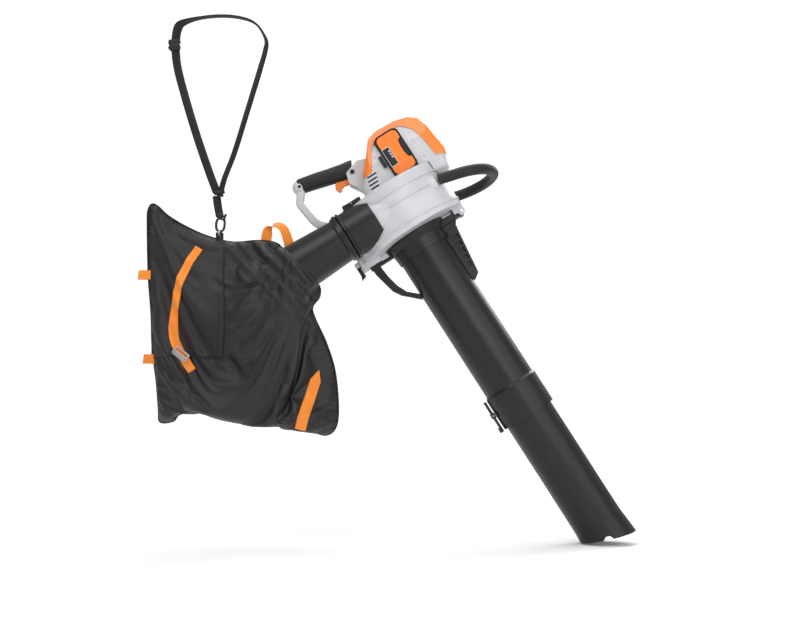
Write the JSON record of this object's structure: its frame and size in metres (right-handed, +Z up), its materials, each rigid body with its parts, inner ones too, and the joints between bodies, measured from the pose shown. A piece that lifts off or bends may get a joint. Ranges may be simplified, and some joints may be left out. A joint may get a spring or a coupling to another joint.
{
  "type": "leaf vacuum mulcher",
  "caption": "Hand-held battery leaf vacuum mulcher: domed motor housing, fan drum, leaning suction tube, loop handle, discharge chute and cloth collecting bag with a shoulder strap.",
  "frame": {"origin": "middle of the rear grip's core", "axes": "+X ahead of the user, +Z up, +Y to the machine's far side, with the tube leaning 32.5 degrees from the vertical"},
  "size_m": [1.1339, 0.2785, 1.2027],
  "materials": {
    "housing": "light grey moulded nylon, satin",
    "cover": "bright orange moulded plastic, satin",
    "black": "black moulded polyethylene with a soft sheen",
    "grip": "black soft-touch rubber",
    "steel": "turned steel",
    "alloy": "cast alloy",
    "motor": "dark lacquered can",
    "board": "green board",
    "bag": "black coated polyester weave",
    "webbing": "black woven webbing",
    "orange_webbing": "orange woven webbing",
    "battery_orange": "orange moulded plastic",
    "dark": "dark grey moulded plastic"
  },
  "bodies": {
    "machine": {"fan_housing_top": "housing", "fan_housing_base": "housing", "hinge_pin": "steel", "motor": "motor", "shaft_bearing": "steel", "casing_near": "housing", "casing_far": "housing", "casing_screws": "steel", "top_cover": "cover", "battery_well": "dark", "control_board": "board", "switch_module": "dark", "grip_sleeve": "grip", "trigger_pin": "steel", "loop_handle": "grip", "outlet_collar": "black", "discharge_chute": "black", "latch_bracket": "black", "latch_pin": "steel", "lock_bracket": "housing", "lock_pin": "steel", "collecting_bag": "bag", "bag_cuff": "webbing", "shoulder_strap": "webbing", "strap_buckle": "dark", "snap_hook": "dark", "strap_tab": "webbing", "carry_loop": "orange_webbing", "side_tabs": "orange_webbing"},
    "rotor": {"motor_shaft": "steel", "fan_wheel": "alloy", "fan_nut": "steel", "shredder_blade": "steel", "blade_washer": "steel", "blade_spacer": "alloy"},
    "trigger": {"trigger": "cover"},
    "lock_button": {"lock_button": "dark"},
    "battery": {"battery_case": "dark", "battery_cap": "battery_orange"},
    "battery_release": {"battery_release": "dark"},
    "outlet_latch": {"outlet_latch": "black"},
    "tube": {"tube_adaptor": "black", "suction_tube": "black", "tube_rail": "black", "loop_guard": "black", "catch_bracket": "black", "catch_pin": "steel"},
    "nozzle": {"nozzle_tube": "black"},
    "nozzle_catch": {"nozzle_catch": "black"},
    "tube_lock": {"tube_lock": "black"}
  },
  "joints": [
    {"name": "fan_spin", "type": "hinge", "parent": "machine", "child": "rotor", "pos_m": [0.16028, 0, -0.0727], "axis": [-0.5373, 0, 0.8434], "continuous": true},
    {"name": "trigger_squeeze", "type": "hinge", "parent": "machine", "child": "trigger", "pos_m": [0.04904, 0, -0.00603], "axis": [0, 1, 0], "range_deg": [0, 11], "stiffness_Nm_per_rad": 0.6},
    {"name": "lock_press", "type": "slide", "parent": "machine", "child": "lock_button", "axis": [0, 1, 0], "range_m": [0, 0.004], "stiffness_N_per_m": 300},
    {"name": "battery_slide", "type": "slide", "parent": "machine", "child": "battery", "axis": [0, -1, 0], "range_m": [0, 0.08]},
    {"name": "battery_release_slide", "type": "slide", "parent": "machine", "child": "battery_release", "axis": [-0.8434, 0, -0.5373], "range_m": [0, 0.004], "stiffness_N_per_m": 300},
    {"name": "outlet_latch_rock", "type": "hinge", "parent": "machine", "child": "outlet_latch", "pos_m": [0.06215, -0.081, -0.08245], "axis": [0, 1, 0], "range_deg": [-3, 0], "stiffness_Nm_per_rad": 0.6},
    {"name": "tube_swing", "type": "hinge", "parent": "machine", "child": "tube", "pos_m": [0.31284, 0, -0.08696], "axis": [0, -1, 0], "range_deg": [0, 60]},
    {"name": "nozzle_slide", "type": "slide", "parent": "tube", "child": "nozzle", "axis": [0.5373, 0, -0.8434], "range_m": [0, 0.055]},
    {"name": "nozzle_catch_rock", "type": "hinge", "parent": "tube", "child": "nozzle_catch", "pos_m": [0.38475, 0, -0.55811], "axis": [0, 1, 0], "range_deg": [0, 3], "stiffness_Nm_per_rad": 0.6},
    {"name": "tube_lock_swing", "type": "hinge", "parent": "machine", "child": "tube_lock", "pos_m": [0.07414, 0.003, -0.21294], "axis": [0, 1, 0], "range_deg": [0, 15], "stiffness_Nm_per_rad": 0.4}
  ]
}
